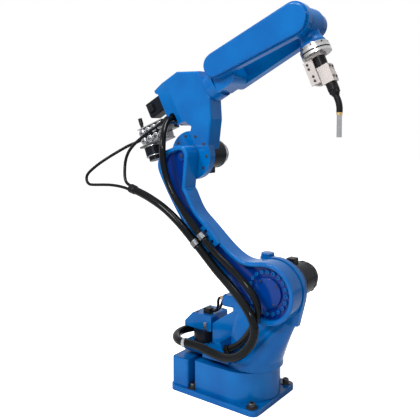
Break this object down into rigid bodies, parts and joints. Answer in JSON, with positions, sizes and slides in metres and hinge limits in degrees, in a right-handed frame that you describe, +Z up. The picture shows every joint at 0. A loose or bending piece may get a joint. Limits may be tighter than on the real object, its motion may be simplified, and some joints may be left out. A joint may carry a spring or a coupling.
{
  "type": "arc welding robot arm",
  "caption": "Floor-standing articulated arc welding robot with a bowed lower arm, forked forearm, rear wire feeder, dressed hoses and a bent torch.",
  "frame": {"origin": "On the swivel axis, at the underside of the base", "axes": "+X forward, the way the shoulder overhangs; -Y the side that carries the lower arm; +Z up"},
  "size_m": [1.1676, 0.386, 1.4661],
  "materials": {
    "blue_paint": "gloss",
    "black_paint": "satin",
    "steel": "brushed",
    "aluminium": "satin",
    "black_plastic": "matt",
    "hose_rubber": "satin",
    "brass": "satin"
  },
  "bodies": {
    "base": {"base_casting": "blue_paint", "base_inlets": "black_plastic"},
    "turret": {"turret_casting": "blue_paint", "shoulder_reducer": "steel", "shoulder_motor": "black_paint", "shoulder_motor_cap": "black_paint", "stop_post": "blue_paint", "swivel_motor": "black_paint", "swivel_housing": "blue_paint", "junction_cover": "blue_paint", "conduit_gland": "black_plastic", "supply_gland": "black_plastic", "conduit_low": "hose_rubber", "supply_hose_low": "hose_rubber"},
    "lower_arm": {"lower_arm_casting": "blue_paint", "shoulder_hub_cover": "blue_paint", "elbow_hub_cover": "blue_paint", "hose_bracket": "blue_paint", "hose_clamp": "steel", "conduit_high": "hose_rubber", "conduit_sleeve": "steel", "supply_hose_high": "hose_rubber", "feeder_cable_long": "hose_rubber", "feeder_cable_short": "hose_rubber"},
    "elbow": {"elbow_reducer": "steel", "elbow_housing": "blue_paint", "elbow_motor": "black_paint", "elbow_motor_cap": "black_paint", "roll_motor": "black_paint", "feeder_bracket": "aluminium", "feeder_frame": "aluminium", "feeder_rollers": "steel", "feeder_lever": "black_plastic", "feeder_plate": "aluminium", "feeder_motor": "black_paint", "port_gland": "black_plastic", "feeder_gland": "black_plastic", "elbow_gland": "black_plastic"},
    "forearm": {"forearm_neck": "blue_paint", "drive_leg": "blue_paint", "drive_cover": "blue_paint", "support_leg": "blue_paint"},
    "wrist": {"wrist_housing": "blue_paint"},
    "tool": {"tool_flange": "steel", "shock_sensor": "aluminium", "torch_bracket": "aluminium", "torch_adapter": "black_plastic", "torch_block": "aluminium", "torch_body": "black_plastic", "torch_neck": "black_plastic", "nozzle_ring": "brass", "nozzle": "steel"}
  },
  "joints": [
    {"name": "base_swivel", "type": "hinge", "parent": "base", "child": "turret", "pos_m": [0, 0, 0], "axis": [0, 0, 1], "range_deg": [-170, 170]},
    {"name": "shoulder", "type": "hinge", "parent": "turret", "child": "lower_arm", "pos_m": [0.155, 0, 0.45], "axis": [0, 1, 0], "range_deg": [-50.5, 105], "deforming": ["conduit_low", "supply_hose_low"]},
    {"name": "elbow", "type": "hinge", "parent": "lower_arm", "child": "elbow", "pos_m": [-0.23555, 0, 0.92378], "axis": [0, -1, 0], "range_deg": [-40, 161.5], "deforming": ["conduit_high", "conduit_sleeve", "supply_hose_high", "feeder_cable_long", "feeder_cable_short"]},
    {"name": "forearm_roll", "type": "hinge", "parent": "elbow", "child": "forearm", "pos_m": [-0.32945, 0, 1.10037], "axis": [0.8829, 0, 0.4695], "range_deg": [-150, 150]},
    {"name": "wrist_bend", "type": "hinge", "parent": "forearm", "child": "wrist", "pos_m": [0.23564, 0, 1.40083], "axis": [0, -1, 0], "range_deg": [-41, 184]},
    {"name": "tool_roll", "type": "hinge", "parent": "wrist", "child": "tool", "pos_m": [0.23564, 0, 1.40083], "axis": [0.4067, 0, -0.9135], "range_deg": [-210, 210]}
  ]
}
